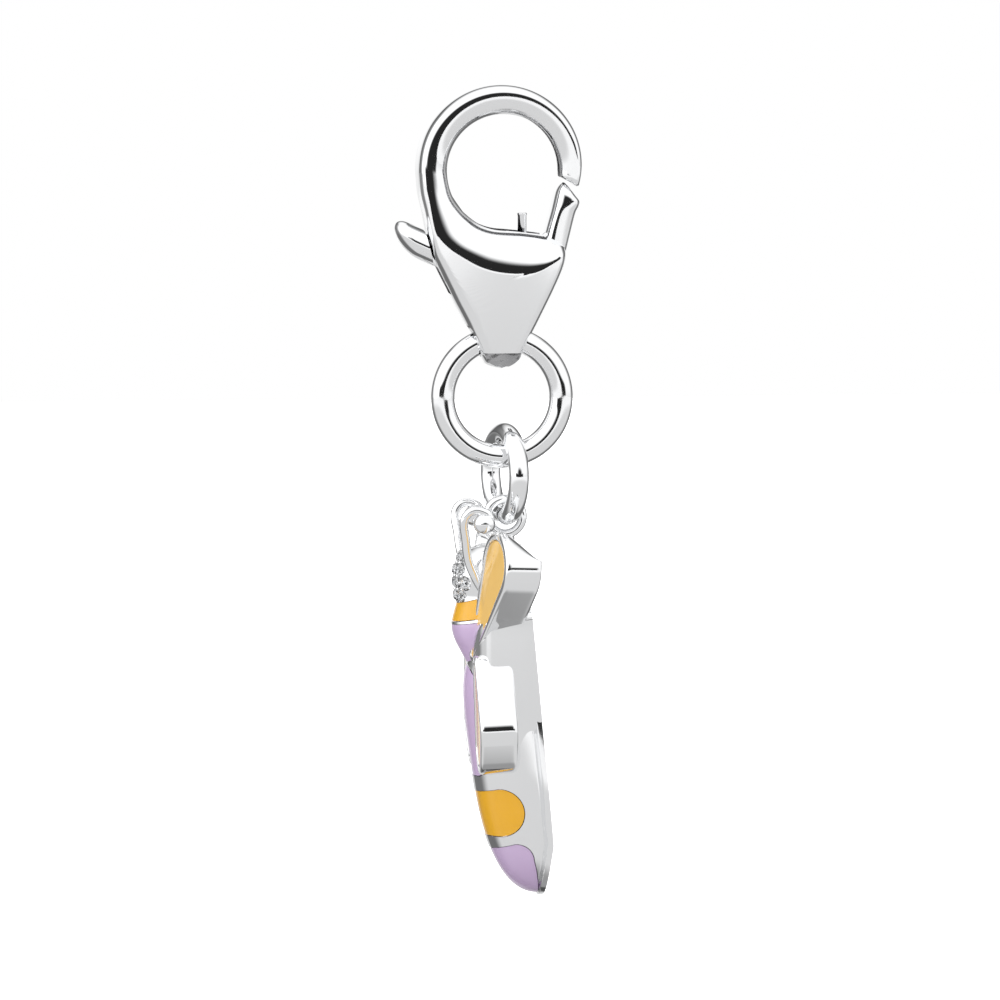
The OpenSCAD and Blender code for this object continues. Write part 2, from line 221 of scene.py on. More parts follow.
def makePolishWear():
    # hair scratches and the faint cloudiness of hand-polished metal
    group, inside, outside = groupShell(
        "polishWear", {"Scale": 1.0, "Roughness": 0.06, "Scratches": 0.05, "Dullness": 0.05},
        ("Roughness", "Height", "Tint"))
    place = addNode(group, "ShaderNodeTexCoord").outputs["Object"]
    stretch = addNode(group, "ShaderNodeMapping", {
        "Vector": place, "Scale": (1.0, 6.0, 0.35), "Rotation": (0.3, 0.5, 0.2)}).outputs["Vector"]
    hair = noiseNode(group, stretch, inside["Scale"], 2600.0, 3.0, 0.6)
    cloud = noiseNode(group, place, inside["Scale"], 420.0, 2.0, 0.5)
    lines = mathNode(group, "SUBTRACT", hair, 0.5)
    rough = mathNode(group, "MULTIPLY_ADD", lines, inside["Scratches"], inside["Roughness"])
    rough = mathNode(group, "MULTIPLY_ADD", cloud, inside["Dullness"], rough)
    setInputs(group, outside, {
        "Roughness": mathNode(group, "MAXIMUM", rough, 0.02), "Height": hair, "Tint": cloud})
    return group


def makeEnamelCloud():
    # fired glass: the colour drifts a little and fine grain shows under the gloss
    group, inside, outside = groupShell(
        "enamelCloud",
        {"Colour": (1.0, 1.0, 1.0, 1.0), "Deep": (0.5, 0.5, 0.5, 1.0), "Scale": 1.0, "Grain": 0.3},
        ("Color", "Height", "Roughness"))
    place = addNode(group, "ShaderNodeTexCoord").outputs["Object"]
    drift = noiseNode(group, place, inside["Scale"], 700.0, 3.0, 0.55)
    grain = noiseNode(group, place, inside["Scale"], 9000.0, 2.0, 0.7)
    depth = mathNode(group, "MULTIPLY", mathNode(group, "SUBTRACT", grain, 0.5), inside["Grain"])
    depth = mathNode(group, "MULTIPLY_ADD", drift, 0.5, depth)
    colours = {"Factor": depth, 6: inside["Colour"], 7: inside["Deep"]}
    setInputs(group, outside, {
        "Color": addNode(group, "ShaderNodeMix", colours, data_type="RGBA").outputs[2],
        "Height": drift, "Roughness": mathNode(group, "MULTIPLY_ADD", drift, 0.08, 0.06)})
    return group


polishWear = makePolishWear()
enamelCloud = makeEnamelCloud()


def newMaterial(name):
    material = bpy.data.materials.new(name)
    material.use_nodes = True
    tree = material.node_tree
    tree.nodes.clear()
    shader = addNode(tree, "ShaderNodeBsdfPrincipled")
    addNode(tree, "ShaderNodeOutputMaterial", {"Surface": shader.outputs["BSDF"]})
    return material, tree, shader


def groupNode(tree, group, values):
    return addNode(tree, "ShaderNodeGroup", values, node_tree=group).outputs


def bumpNode(tree, height, strength, distance):
    inputs = {"Height": height, "Strength": strength, "Distance": distance * mm}
    return addNode(tree, "ShaderNodeBump", inputs).outputs["Normal"]


def makeSilver(name, light, shade, roughness, scratches, dullness, bump, scale=1.0):
    material, tree, shader = newMaterial(name)
    wear = groupNode(tree, polishWear, {
        "Scale": scale, "Roughness": roughness, "Scratches": scratches, "Dullness": dullness})
    tones = {"Factor": wear["Tint"], 6: (*light, 1.0), 7: (*shade, 1.0)}
    setInputs(tree, shader, {
        "Base Color": addNode(tree, "ShaderNodeMix", tones, data_type="RGBA").outputs[2],
        "Roughness": wear["Roughness"], "Metallic": 1.0, "Normal": bumpNode(tree, wear["Height"], bump, 0.004)})
    return material


def makeEnamel(name, colour, deep, grain):
    material, tree, shader = newMaterial(name)
    cloud = groupNode(tree, enamelCloud, {
        "Colour": (*colour, 1.0), "Deep": (*deep, 1.0), "Scale": 1.0, "Grain": grain})
    setInputs(tree, shader, {
        "Base Color": cloud["Color"], "Roughness": cloud["Roughness"], "Coat Weight": 0.35,
        "Coat Roughness": 0.06, "Normal": bumpNode(tree, cloud["Height"], 0.12, 0.02)})
    return material


def makeStone(name, tint, ior):
    material, tree, shader = newMaterial(name)
    wear = groupNode(tree, polishWear, {"Scale": 3.0, "Roughness": 0.01, "Scratches": 0.02, "Dullness": 0.0})
    setInputs(tree, shader, {
        "Base Color": (*tint, 1.0), "Transmission Weight": 1.0, "IOR": ior, "Roughness": wear["Roughness"]})
    return material


finishes = {
    "bright": makeSilver("brightSilver", (0.955, 0.96, 0.968), (0.92, 0.925, 0.935), 0.03, 0.03, 0.04, 0.06),
    # the cut walls' dark tone is painted shade in the eye, slot, groove and fold; their roughness and scratches
    # are the brushed finish
    "inner": makeSilver("brushedSilverPaintedShade", (0.62, 0.62, 0.63), (0.25, 0.25, 0.26), 0.16, 0.25, 0.2, 0.8, 1.4),
    "lilac": makeEnamel("lilacEnamel", (0.70, 0.53, 0.78), (0.60, 0.44, 0.70), 0.2),
    "yellow": makeEnamel("yellowEnamel", (0.96, 0.50, 0.02), (0.86, 0.42, 0.01), 0.15),
    "wing": makeEnamel("wingEnamel", (1.0, 0.64, 0.19), (0.95, 0.55, 0.12), 0.15),
    "stone": makeStone("clearStone", (0.98, 0.99, 1.0), 2.15),
}
print("materials made")


# small helpers for meshes
def curveThrough(rows, steps):
    # smooth curve through rows of numbers, any number of columns
    def at(i):
        return rows[max(0, min(len(rows) - 1, i))]
    out = []
    for i in range(len(rows) - 1):
        p, q, r, s = at(i - 1), at(i), at(i + 1), at(i + 2)
        for k in range(steps):
            t = k / steps
            out.append(tuple(
                0.5 * (2 * b + (c - a) * t + (2 * a - 5 * b + 4 * c - d) * t * t
                       + (3 * b - a - 3 * c + d) * t ** 3)
                for a, b, c, d in zip(p, q, r, s)))
    out.append(tuple(rows[-1]))
    return out


def fullTurn(count):
    return [2 * pi * k / count for k in range(count)]


def circle(radius, count):
    return [(radius * cos(a), radius * sin(a)) for a in fullTurn(count)]


def skinMesh(rings, caps=True):
    # rings of equally many points, joined into a closed skin
    count = len(rings[0])
    vertices = [p for ring in rings for p in ring]
    faces = []
    for i in range(len(rings) - 1):
        for j in range(count):
            a, b = i * count + j, i * count + (j + 1) % count
            faces.append((a, b, b + count, a + count))
    if caps:
        last = (len(rings) - 1) * count
        faces.append(tuple(range(count - 1, -1, -1)))
        faces.append(tuple(range(last, last + count)))
    return vertices, faces


def joinMeshes(parts):
    vertices, faces = [], []
    for partVertices, partFaces in parts:
        start = len(vertices)
        vertices.extend(partVertices)
        faces.extend(tuple(start + i for i in face) for face in partFaces)
    return vertices, faces


def smoothShade(piece, sharp):
    mesh = piece.data
    mesh.polygons.foreach_set("use_smooth", [True] * len(mesh.polygons))
    mesh.set_sharp_from_angle(angle=radians(sharp))


def newObject(name, parts, look="bright", sharp=40.0):
    vertices, faces = joinMeshes(parts)
    mesh = bpy.data.meshes.new(name)
    mesh.from_pydata([(x * mm, y * mm, z * mm) for x, y, z in vertices], [], faces)
    shell = bmesh.new()
    shell.from_mesh(mesh)
    bmesh.ops.recalc_face_normals(shell, faces=shell.faces[:])
    shell.to_mesh(mesh)
    shell.free()
    mesh.materials.append(finishes[look])
    made = bpy.data.objects.new(name, mesh)
    bpy.context.scene.collection.objects.link(made)
    smoothShade(made, sharp)
    return made


def takeResult(piece):
    # puts what the modifiers make into the mesh itself
    graph = bpy.context.evaluated_depsgraph_get()
    result = bpy.data.meshes.new_from_object(piece.evaluated_get(graph))
    piece.modifiers.clear()
    old = piece.data
    piece.data = result
    bpy.data.meshes.remove(old)


def combine(piece, other, operation="DIFFERENCE"):
    step = piece.modifiers.new("combine", "BOOLEAN")
    step.operation, step.solver, step.object = operation, "EXACT", other
    step.material_mode = "TRANSFER"
    takeResult(piece)
    bpy.data.objects.remove(other)


def mergeObjects(name, parts):
    # one object from several, with their materials
    materials = []
    whole = bmesh.new()
    for part in parts:
        mesh = part.data
        moved = []
        for material in mesh.materials:
            if material not in materials:
                materials.append(material)
            moved.append(materials.index(material))
        before = len(whole.faces)
        whole.from_mesh(mesh)
        whole.faces.ensure_lookup_table()
        for face in whole.faces[before:]:
            face.material_index = moved[min(face.material_index, len(moved) - 1)]
    mesh = bpy.data.meshes.new(name)
    whole.to_mesh(mesh)
    whole.free()
    for material in materials:
        mesh.materials.append(material)
    for part in parts:
        bpy.data.objects.remove(part)
    made = bpy.data.objects.new(name, mesh)
    bpy.context.scene.collection.objects.link(made)
    return made


def addBevel(piece, width, segments, angle):
    step = piece.modifiers.new("edge", "BEVEL")
    step.width, step.segments = width * mm, segments
    step.limit_method, step.angle_limit = "ANGLE", radians(angle)
    takeResult(piece)


def finishPiece(piece, body, node):
    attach(piece, body)
    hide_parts(node)


def smoothStep(low, high, value):
    t = max(0.0, min(1.0, (value - low) / (high - low)))
    return t * t * (3 - 2 * t)


def tubeMesh(path, radius, sides):
    # a tube carried along a path without twist, its ends rounded off
    path = [Vector(p) for p in path]
    first, last = (path[0] - path[1]).normalized(), (path[-1] - path[-2]).normalized()
    ends = [(cos(a) * radius, sin(a) * radius) for a in (0.2, 0.5, 0.85, 1.2, 1.45)]
    sizes = [s for s, _ in reversed(ends)] + [radius] * len(path) + [s for s, _ in ends]
    path = [path[0] + first * r for _, r in reversed(ends)] + path + [path[-1] + last * r for _, r in ends]
    along = [(path[min(i + 1, len(path) - 1)] - path[max(i - 1, 0)]).normalized() for i in range(len(path))]
    side = along[0].orthogonal().normalized()
    rings = []
    for point, heading, size in zip(path, along, sizes):
        side = (side - heading * side.dot(heading)).normalized()
        other = heading.cross(side)
        rings.append([point + size * (cos(a) * side + sin(a) * other) for a in fullTurn(sides)])
    return skinMesh(rings)


def ringMesh(centre, turn, radius, wire, steps, sides):
    # a round ring standing upright, turned about the vertical
    vertices, faces = [], []
    c, s = cos(radians(turn)), sin(radians(turn))
    for i, a in enumerate(fullTurn(steps)):
        after = (i + 1) % steps * sides
        for j, b in enumerate(fullTurn(sides)):
            reach = radius + wire * cos(b)
            x, y, z = reach * cos(a), wire * sin(b), reach * sin(a)
            vertices.append((centre[0] + c * x - s * y, centre[1] + s * x + c * y, centre[2] + z))
            nextSide = (j + 1) % sides
            faces.append((i * sides + j, i * sides + nextSide, after + nextSide, after + j))
    return vertices, faces


def ballMesh(centre, radius, steps, rows):
    cx, cy, cz = centre
    rings = []
    for i in range(1, rows):
        a = pi * i / rows
        rings.append([(cx + x, cy + y, cz + radius * cos(a)) for x, y in circle(radius * sin(a), steps)])
    vertices, faces = skinMesh(rings, False)
    top, bottom = len(vertices), len(vertices) + 1
    vertices = vertices + [(cx, cy, cz + radius), (cx, cy, cz - radius)]
    last = (rows - 2) * steps
    for k in range(steps):
        faces.append((top, (k + 1) % steps, k))
        faces.append((bottom, last + k, last + (k + 1) % steps))
    return vertices, faces


def extruded(outline, depth):
    # outline seen from the front, x and z, from -depth to +depth across y
    return skinMesh([[(x, y, z) for x, z in outline] for y in (-depth, depth)])


claspValues = {
    "eye": (0.0, -2.4),
    "eyeRadius": 2.4,
    "hookSteps": 72,
    "bodySteps": 7,
    "outerPoints": 20,
    "innerPoints": 20,
    "lip": 0.15,             # how far the uncut hook reaches into the eye
    "crestShare": 0.38,      # where the hook's crest lies, from its outer edge
    "hookDepths": (0.85, 1.30),
    "wedgeSlope": 0.1015,    # how fast the body thins below its crest
    "wedgeRow": 12,          # the last row that crosses the crest
    "hookRound": 3.3,        # how square the outer rounding is, on the hook
    "edgeRound": 2.3,        # and on the body
    "rollRound": 2.15,
    "tipHeading": (-0.35, 0.0, -0.94),
    "tipRounding": ((0.80, 0.10), (0.90, 0.085), (0.97, 0.045)),  # share of the first row, distance before it
    "eyeSteps": 96,
    "eyeEnd": 206,           # where the eye's round wall runs into the body's inner edge, in degrees
    "eyeCorner": [(2.5, -4.9), (3.0, -4.2), (2.42, -2.75)],
    "eyeDepth": 3.0,
    "slotWidth": 1.3,
    "grooveWidth": 0.8,
    "grooveDepth": 0.4,
    "foldHeight": -10.02,
    "foldDepth": 0.17,
    "foldHalf": 1.3,
    "foldFace": 1.10,        # half depth of the body there
    "holeHeight": -9.44,
    "holeRadius": 0.60,
    "ringInside": 2.0,       # the jump ring's inner radius, which the hole's flare follows
    "holeRows": (-1.62, 0.18, 19),  # first row, step and count across the body
    "holeSides": 40,
    "upperFlare": 0.2,
}
# columns: outer x, z; crest x, z; inner x, z; width of the outer rounding; half depth at the crest
claspRows = [
    (-3.62, -2.40, -3.15, -2.40, -2.40, -2.40, 0.47, 1.300),
    (-3.54, -3.30, -3.09, -3.38, -2.17, -3.42, 0.45, 1.340),
    (-3.36, -4.10, -3.01, -4.25, -1.72, -4.08, 0.36, 1.375),
    (-3.24, -4.75, -2.85, -4.98, -1.33, -4.41, 0.34, 1.405),
    (-3.14, -5.35, -2.42, -5.52, -0.92, -4.67, 0.36, 1.430),
    (-3.03, -5.90, -1.80, -5.97, -0.40, -4.84, 0.40, 1.450),
    (-2.85, -6.33, -1.05, -6.40, 0.20, -4.90, 0.42, 1.465),
    (-2.70, -6.65, -0.20, -6.65, 0.90, -4.92, 0.42, 1.475),
    (-2.53, -7.00, 0.70, -6.70, 1.50, -4.94, 0.42, 1.475),
    (-2.35, -7.35, 1.45, -6.55, 1.95, -5.00, 0.42, 1.470),
    (-2.18, -7.70, 1.98, -6.25, 2.33, -5.20, 0.42, 1.460),
    (-2.00, -8.05, 2.24, -6.00, 2.58, -5.52, 0.42, 1.450),
    (-1.81, -8.40, 2.30, -6.12, 2.66, -5.90, 0.42, 1.445),
    (-1.60, -8.80, 2.18, -6.58, 2.55, -6.45, 0.42, 1.4),
    (-1.41, -9.20, 1.83, -7.36, 2.18, -7.33, 0.40, 1.3),
    (-1.21, -9.60, 1.42, -8.21, 1.76, -8.20, 0.38, 1.2),
    (-1.02, -10.00, 0.98, -9.10, 1.31, -9.10, 0.36, 1.1),
    (-0.87, -10.30, 0.60, -9.82, 0.90, -9.85, 0.34, 1.0),
    (-0.72, -10.52, 0.45, -10.22, 0.76, -10.27, 0.32, 1.0),
    (-0.42, -10.64, 0.30, -10.40, 0.52, -10.50, 0.30, 1.0),
    (-0.15, -10.69, 0.12, -10.55, 0.25, -10.62, 0.28, 1.0),
]
slotOutline = [
    (-4.6, -4.98), (-2.6, -5.10), (-1.6, -4.1), (3.6, -4.1), (3.6, -6.15), (2.2, -6.45), (1.0, -7.35),
    (-0.3, -7.95), (-1.7, -7.95), (-2.4, -7.42), (-4.6, -7.42)]


def claspLines(v):
    # rows across the clasp, from the hook's tip to the tail, with claspRows' columns and two more:
    # slope below the crest, and how square the outer rounding is
    rows = []
    eyeX, eyeZ = v["eye"]
    for i in range(v["hookSteps"]):
        f = i / v["hookSteps"]
        outerA, innerA = radians(-11 + 191 * f), radians(-2 + 182 * f)
        outerR = v["eyeRadius"] + 0.88 + 0.4 * sin(radians(min(90, 130 * f)))
        outerR -= 0.06 * smoothStep(0.8, 1.0, f)
        edge = v["crestShare"] * (outerR - v["eyeRadius"])
        crestA, crestR = outerA + (innerA - outerA) * v["crestShare"], outerR - edge
        row = []
        for a, r in ((outerA, outerR), (crestA, crestR), (innerA, v["eyeRadius"] - v["lip"])):
            row += [eyeX + r * cos(a), eyeZ + r * sin(a)]
        low, high = v["hookDepths"]
        rows.append((*row, edge, low + (high - low) * f, 0.0, v["hookRound"]))
    for k, row in enumerate(curveThrough(claspRows, v["bodySteps"])):
        share = k / v["bodySteps"]
        toEye = Vector((eyeX - row[4], eyeZ - row[5])).normalized() * v["lip"]
        toEye *= 1 - smoothStep(6.0, 9.5, share)
        slope = v["wedgeSlope"] * smoothStep(0.0, 4.0, share)
        square = v["hookRound"] + (v["edgeRound"] - v["hookRound"]) * smoothStep(1.0, 8.0, share)
        rows.append((*row[:4], row[4] + toEye.x, row[5] + toEye.y, *row[6:], slope, square))
    return rows


def distanceTo(points, line):
    # from each point to the nearest place on a line of many short pieces, and where along it that is
    a, b = line[:-1], line[1:]
    along = b - a
    offset = points[:, None, :] - a[None, :, :]
    t = np.clip((offset * along).sum(-1) / (along ** 2).sum(-1), 0, 1)
    away = np.linalg.norm(offset - t[..., None] * along, axis=-1)
    nearest = away.argmin(axis=1)
    pick = np.arange(len(points))
    return away[pick, nearest], nearest + t[pick, nearest]


def claspRings(v):
    rows = claspLines(v)
    edgeLine = np.array([(row[0], row[1]) for row in rows])
    crossing = v["hookSteps"] + (v["wedgeRow"] - 1) * v["bodySteps"]
    crestLine = np.array([(row[2], row[3]) for row in rows[v["hookSteps"]:crossing]])
    crestDepth = np.array([row[7] for row in rows[v["hookSteps"]:crossing]])
    rings = []
    for row in rows:
        outer, crest, inner = Vector(row[0:2]), Vector(row[2:4]), Vector(row[4:6])
        points, rolls = [], []
        for i in range(v["outerPoints"]):
            f = 1 - cos(pi / 2 * i / v["outerPoints"])
            points.append(outer.lerp(crest, f))
            rolls.append(0.0)
        for i in range(v["innerPoints"] + 1):
            f = sin(pi / 2 * i / v["innerPoints"])
            points.append(crest.lerp(inner, f))
            rolls.append(f)
        flat = np.array([tuple(p) for p in points])
        fromEdge = distanceTo(flat, edgeLine)[0]
        fromEdge[0] = 0.0
        depths = np.full(len(flat), row[7])
        if row[8]:
            fromCrest, place = distanceTo(flat[:v["outerPoints"] + 1], crestLine)
            level = np.interp(place, np.arange(len(crestDepth)), crestDepth) - row[8] * fromCrest
            depths[:len(level)] = level
            depths[len(level):] = level[-1]
        front = []
        for (x, z), d, roll, depth in zip(flat, fromEdge, rolls, depths):
            a = (1 - max(0.0, 1 - d / row[6]) ** row[9]) ** (1 / row[9])
            b = (1 - min(1.0, roll) ** v["rollRound"]) ** (1 / v["rollRound"])
            front.append((float(x), float(depth * a * b), float(z)))
        rings.append([(x, -y, z) for x, y, z in front] + [(x, y, z) for x, y, z in front[-2:0:-1]])
    return rings


def makeClaspBody(v):
    rings = claspRings(v)
    first = [Vector(p) for p in rings[0]]
    centre = sum(first, Vector()) / len(first)
    forward = Vector(v["tipHeading"])
    rounding = [[tuple(centre + (p - centre) * s + forward * r) for p in first] for s, r in v["tipRounding"]]
    piece = newObject("claspBody", [skinMesh(rounding + rings)])
    eyeX, eyeZ = v["eye"]

    def arc(radius, end):
        turns = [radians(end * k / v["eyeSteps"]) for k in range(v["eyeSteps"] + 1)]
        return [(eyeX + radius * cos(a), eyeZ + radius * sin(a)) for a in turns]

    # the eye's wall stands square to the front
    wall = arc(v["eyeRadius"], v["eyeEnd"]) + [(row[4], row[5]) for row in curveThrough(claspRows[2:10], 6)]
    groove = arc(v["eyeRadius"] + v["grooveDepth"], 360)[:-1]
    # the cutters give the cut walls their dark finish: painted shade in the recesses
    for outline, half in ((wall + v["eyeCorner"], v["eyeDepth"]), (slotOutline, v["slotWidth"] / 2),
                          (groove, v["grooveWidth"] / 2)):
        combine(piece, newObject("claspCutter", [extruded(outline, half)], "inner"))
    combine(piece, newObject("holeCutter", [holeMesh(v)]))
    # below the fold the tail's sheet stops and the rough core shows, its cut faces darkened with painted shade
    for side in (-1, 1):
        combine(piece, foldCutter(side, v))
    smoothShade(piece, 38.0)
    finishPiece(piece, "clasp", "clasp_body")


def holeMesh(v):
    # flared to follow the jump ring's bent wire, less in its upper half, where the ring never leans
    wire, bend = v["holeRadius"], v["ringInside"]
    start, step, count = v["holeRows"]
    rings = []
    for k in range(count):
        x = start + step * k
        low = wire + bend - sqrt(bend ** 2 - x * x)
        high = wire + (low - wire) * v["upperFlare"] - 0.2 * smoothStep(1.4, 1.6, abs(x))
        rings.append([(x, low * cos(a), v["holeHeight"] + sin(a) * (high if a < pi else low))
                      for a in fullTurn(v["holeSides"])])
    return skinMesh(rings)


def foldCutter(side, v):
    columns, rowCount, half = 22, 12, v["foldHalf"]
    rings = []
    for i in range(rowCount + 1):
        z = v["foldHeight"] - 1.0 * i / rowCount
        low = []
        for j in range(columns + 1):
            x = -half + 2 * half * j / columns
            rough = 0.05 * noise.noise(Vector((x * 4.1, side * 3.0, z * 5.3))) if i else 0.0
            y = v["foldFace"] - v["foldDepth"] - 0.30 * smoothStep(0.25, 1.0, i / rowCount) + rough
            low.append((x, side * y, z))
        rings.append(low + [(half, side * 2.4, z), (-half, side * 2.4, z)])
    return newObject("foldCutter", [skinMesh(rings)], "inner")


makeClaspBody(claspValues)
print("clasp body made")


leverValues = {
    "gateSquare": 3.0,       # how square the gate's section is
    "gateSides": 64,
    "armHalf": 0.55,
    "armBevel": 0.08,
    "thumbTip": (-4.52, -4.97),
    "thumbRoot": (-3.11, -5.62),
    "thumbUp": (-0.25, 0.97),  # the tab's end runs along the body's edge
    "thumbHalf": 0.92,       # across
    "thumbRise": 0.80,
    "thumbNose": 0.85,
    "thumbSteps": 40,
    "thumbSides": 48,
    "thumbInsets": (0.05, 0.12),  # rounds the edge at the root
    "springX": 0.85,
}
# columns: left x, z; right x, z; half depth
gateRows = [
    (1.62, -5.85, 2.66, -5.88, 0.80), (1.80, -4.95, 2.86, -5.05, 0.83), (2.02, -4.12, 3.07, -4.21, 0.87),
    (2.12, -3.70, 3.21, -3.92, 0.88), (2.19, -3.40, 3.25, -3.68, 0.87), (2.25, -3.20, 3.08, -3.44, 0.83),
    (2.33, -3.05, 2.88, -3.18, 0.74), (2.42, -2.95, 2.72, -2.99, 0.58), (2.50, -2.91, 2.60, -2.90, 0.35)]
armOutline = [(-3.60, -5.05), (-2.75, -5.45), (-1.20, -6.15), (-0.20, -6.05), (1.00, -5.60), (1.80, -4.95),
              (2.62, -5.85), (1.60, -6.35), (0.20, -7.25), (-1.00, -7.55), (-2.75, -6.45), (-3.60, -5.95)]
# columns: radius, height
springRows = [(0.19, -5.55), (0.19, -4.30), (0.205, -4.27), (0.205, -4.20), (0.18, -4.18)]


def makeGate(v):
    rings = []
    for leftX, leftZ, rightX, rightZ, half in curveThrough(gateRows, 5):
        ring = []
        for a in fullTurn(v["gateSides"]):
            c, s = cos(a), sin(a)
            across = 0.5 + 0.5 * copysign(abs(c) ** (2 / v["gateSquare"]), c)
            out = copysign(abs(s) ** (2 / v["gateSquare"]), s)
            ring.append((leftX + (rightX - leftX) * across, half * out, leftZ + (rightZ - leftZ) * across))
        rings.append(ring)
    return newObject("leverGate", [skinMesh(rings)], sharp=60)


def makeThumb(v):
    # a rounded tab that ends along the body's edge
    tip, root, up = [Vector((v[name][0], 0, v[name][1])) for name in ("thumbTip", "thumbRoot", "thumbUp")]
    rings = []
    for i in range(v["thumbSteps"] + 1):
        share = 1 - cos(pi / 2 * i / v["thumbSteps"])
        nose = min(1.0, share * (root - tip).length / v["thumbNose"])
        swell = max(0.0006, 1 - (1 - nose) ** 2) ** 0.5
        rings.append([tip.lerp(root, share) + Vector((0, v["thumbHalf"] * swell * cos(a), 0))
                      + up * v["thumbRise"] * swell * sin(a) for a in fullTurn(v["thumbSides"])])
    full = rings[-1]
    for inset in v["thumbInsets"]:
        rings.append([root + (p - root) * (1 - inset) + Vector((inset * 0.2, 0, 0)) for p in full])
    return newObject("leverThumb", [skinMesh(rings)], sharp=60)


def makeLever(v):
    arm = newObject("leverArm", [extruded(armOutline, v["armHalf"])])
    addBevel(arm, v["armBevel"], 3, 50)
    lever = mergeObjects("claspLever", [makeGate(v), arm, makeThumb(v)])
    smoothShade(lever, 45)
    finishPiece(lever, "lever", "clasp_lever")
    wire = newObject("claspSpring", [skinMesh([
        [(v["springX"] + x, y, z) for x, y in circle(r, 28)] for r, z in springRows])])
    finishPiece(wire, "lever", "clasp_spring")


makeLever(leverValues)
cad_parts["clasp_rivet"].data.materials[0] = finishes["bright"]
print("lever made")


ringValues = {
    "jump": {"centre": (0.0, 0.0, -11.94), "turn": 0.0, "radius": 2.5, "wire": 0.5},
    "link": {"centre": (0.12, 0.0, -15.17), "turn": 104.0, "radius": 1.75, "wire": 0.42},
}
for label, body, node in (("jump", "large_ring", "jump_ring"), ("link", "small_ring", "link_ring")):
    v = ringValues[label]
    ring = newObject(label + "Ring", [ringMesh(v["centre"], v["turn"], v["radius"], v["wire"], 160, 36)])
    finishPiece(ring, body, node)
print("rings made")


beeValues = {
    "origin": (0.12, 0.0, -16.92),
    "gap": 0.03,
    "pocket": 0.26,
    "enamelTop": 0.03,
    "enamelBottom": 0.23,
}


def inBee(point):
    ox, oy, oz = beeValues["origin"]
    return (point[0] + ox, point[1] + oy, point[2] + oz)


def arcPoints(centre, radius, start, end):
    return [(centre[0] + radius * cos(radians(a)), centre[1] + radius * sin(radians(a)))
            for a in range(start, end - 1, -6)]


def cellOutline(name, g):
    # cells of enamel seen from the side, grown by g all round
    if name == "upper":
        return ([(-3, -5.6 + g), (-1.9 + g, -5.6 + g)] + arcPoints((-1.45, -8.1), 0.65 + g, 45, 0)
                + arcPoints((-1.5, -10.40), 0.65 + g, 0, -60) + [(-3, -11.22 - g)])
    if name == "middle":
        return [(-3, -12.05 + g)] + arcPoints((-0.41, -12.45), 1.045 + g, 90, -90) + [(-3, -13.62 - g)]
    if name == "tip":
        return ([(-3, -14.25 + g), (-0.6, -14.03 + g)] + arcPoints((0.33, -14.5), 0.75 + g, 95, 5)
                + [(1.20 + g, -14.9), (1.35 + g, -15.7), (1.4 + g, -17), (-3, -17)])
    if name == "yellowThorax":
        return [(-3, -3.95 + g), (-0.9 + g, -3.3 + g), (-0.9 + g, -4.22 - g), (-3, -4.6 - g)]
    return [(-3, -4.7 + g), (-0.9 + g, -4.32 + g), (-0.9 + g, -6.6 - g), (-3, -6.6 - g)]


def cellPrism(name, grow):
    return newObject("cellPrism", [extrudedInBee(cellOutline(name, grow), 4.0)])


def extrudedInBee(outline, depth):
    return skinMesh([[inBee((x, y, z)) for x, z in outline] for y in (-depth, depth)])


abdomenValues = {
    "length": 10.9,
    "widest": 5.6,
    "radius": 2.34,
    "lean": 8.2,
    "tailTip": (1.70, -16.0),
    "back": (1.06, -5.6),
    "backLean": 5.7,
    "tailBack": (1.88, -13.8),
    "tailBackLean": 7.0,
    "flange": 0.30,          # width of the raised edge along the back
    "flangeRise": 0.05,
    "grooveDepth": 0.10,
    "heightSteps": 120,
    "aroundSteps": 96,
    "sideSteps": 64,
    "backSteps": 12,
    "backGap": 0.03,         # the abdomen's back lies this far inside the plate's
}


def abdomenRadius(h, v):
    w, length = v["widest"], v["length"]
    if h < w:
        return v["radius"] * max(0.0, 1 - ((w - h) / w) ** 2.5) ** 0.4
    return v["radius"] * max(0.0, 1 - ((h - w) / (length - w)) ** 4) ** 0.25


def abdomenPoint(h, angle, inset, v):
    # angle 0 faces the front; the axis leans back towards the tail
    r = max(0.0, abdomenRadius(h, v) - inset)
    lean = radians(v["lean"])
    x, y = -r * cos(angle), -r * sin(angle)
    hh = inset + h * (v["length"] - 2 * inset) / v["length"]
    return (v["tailTip"][0] + x * cos(lean) - hh * sin(lean), y,
            v["tailTip"][1] + x * sin(lean) + hh * cos(lean))


def beforeBack(x, z, v):
    # distance in front of the flat back
    upper = v["back"][0] - (z - v["back"][1]) * tan(radians(v["backLean"])) - x
    lower = v["tailBack"][0] + (z - v["tailBack"][1]) * tan(radians(v["tailBackLean"])) - x
    return min(upper, lower)


def abdomenHeights(v):
    return [v["length"] * (1 - cos(pi * i / v["heightSteps"])) / 2 for i in range(1, v["heightSteps"])]


def abdomenMesh(inset, v):
    return skinMesh([[inBee(abdomenPoint(h, a, inset, v)) for a in fullTurn(v["aroundSteps"])]
                     for h in abdomenHeights(v)])


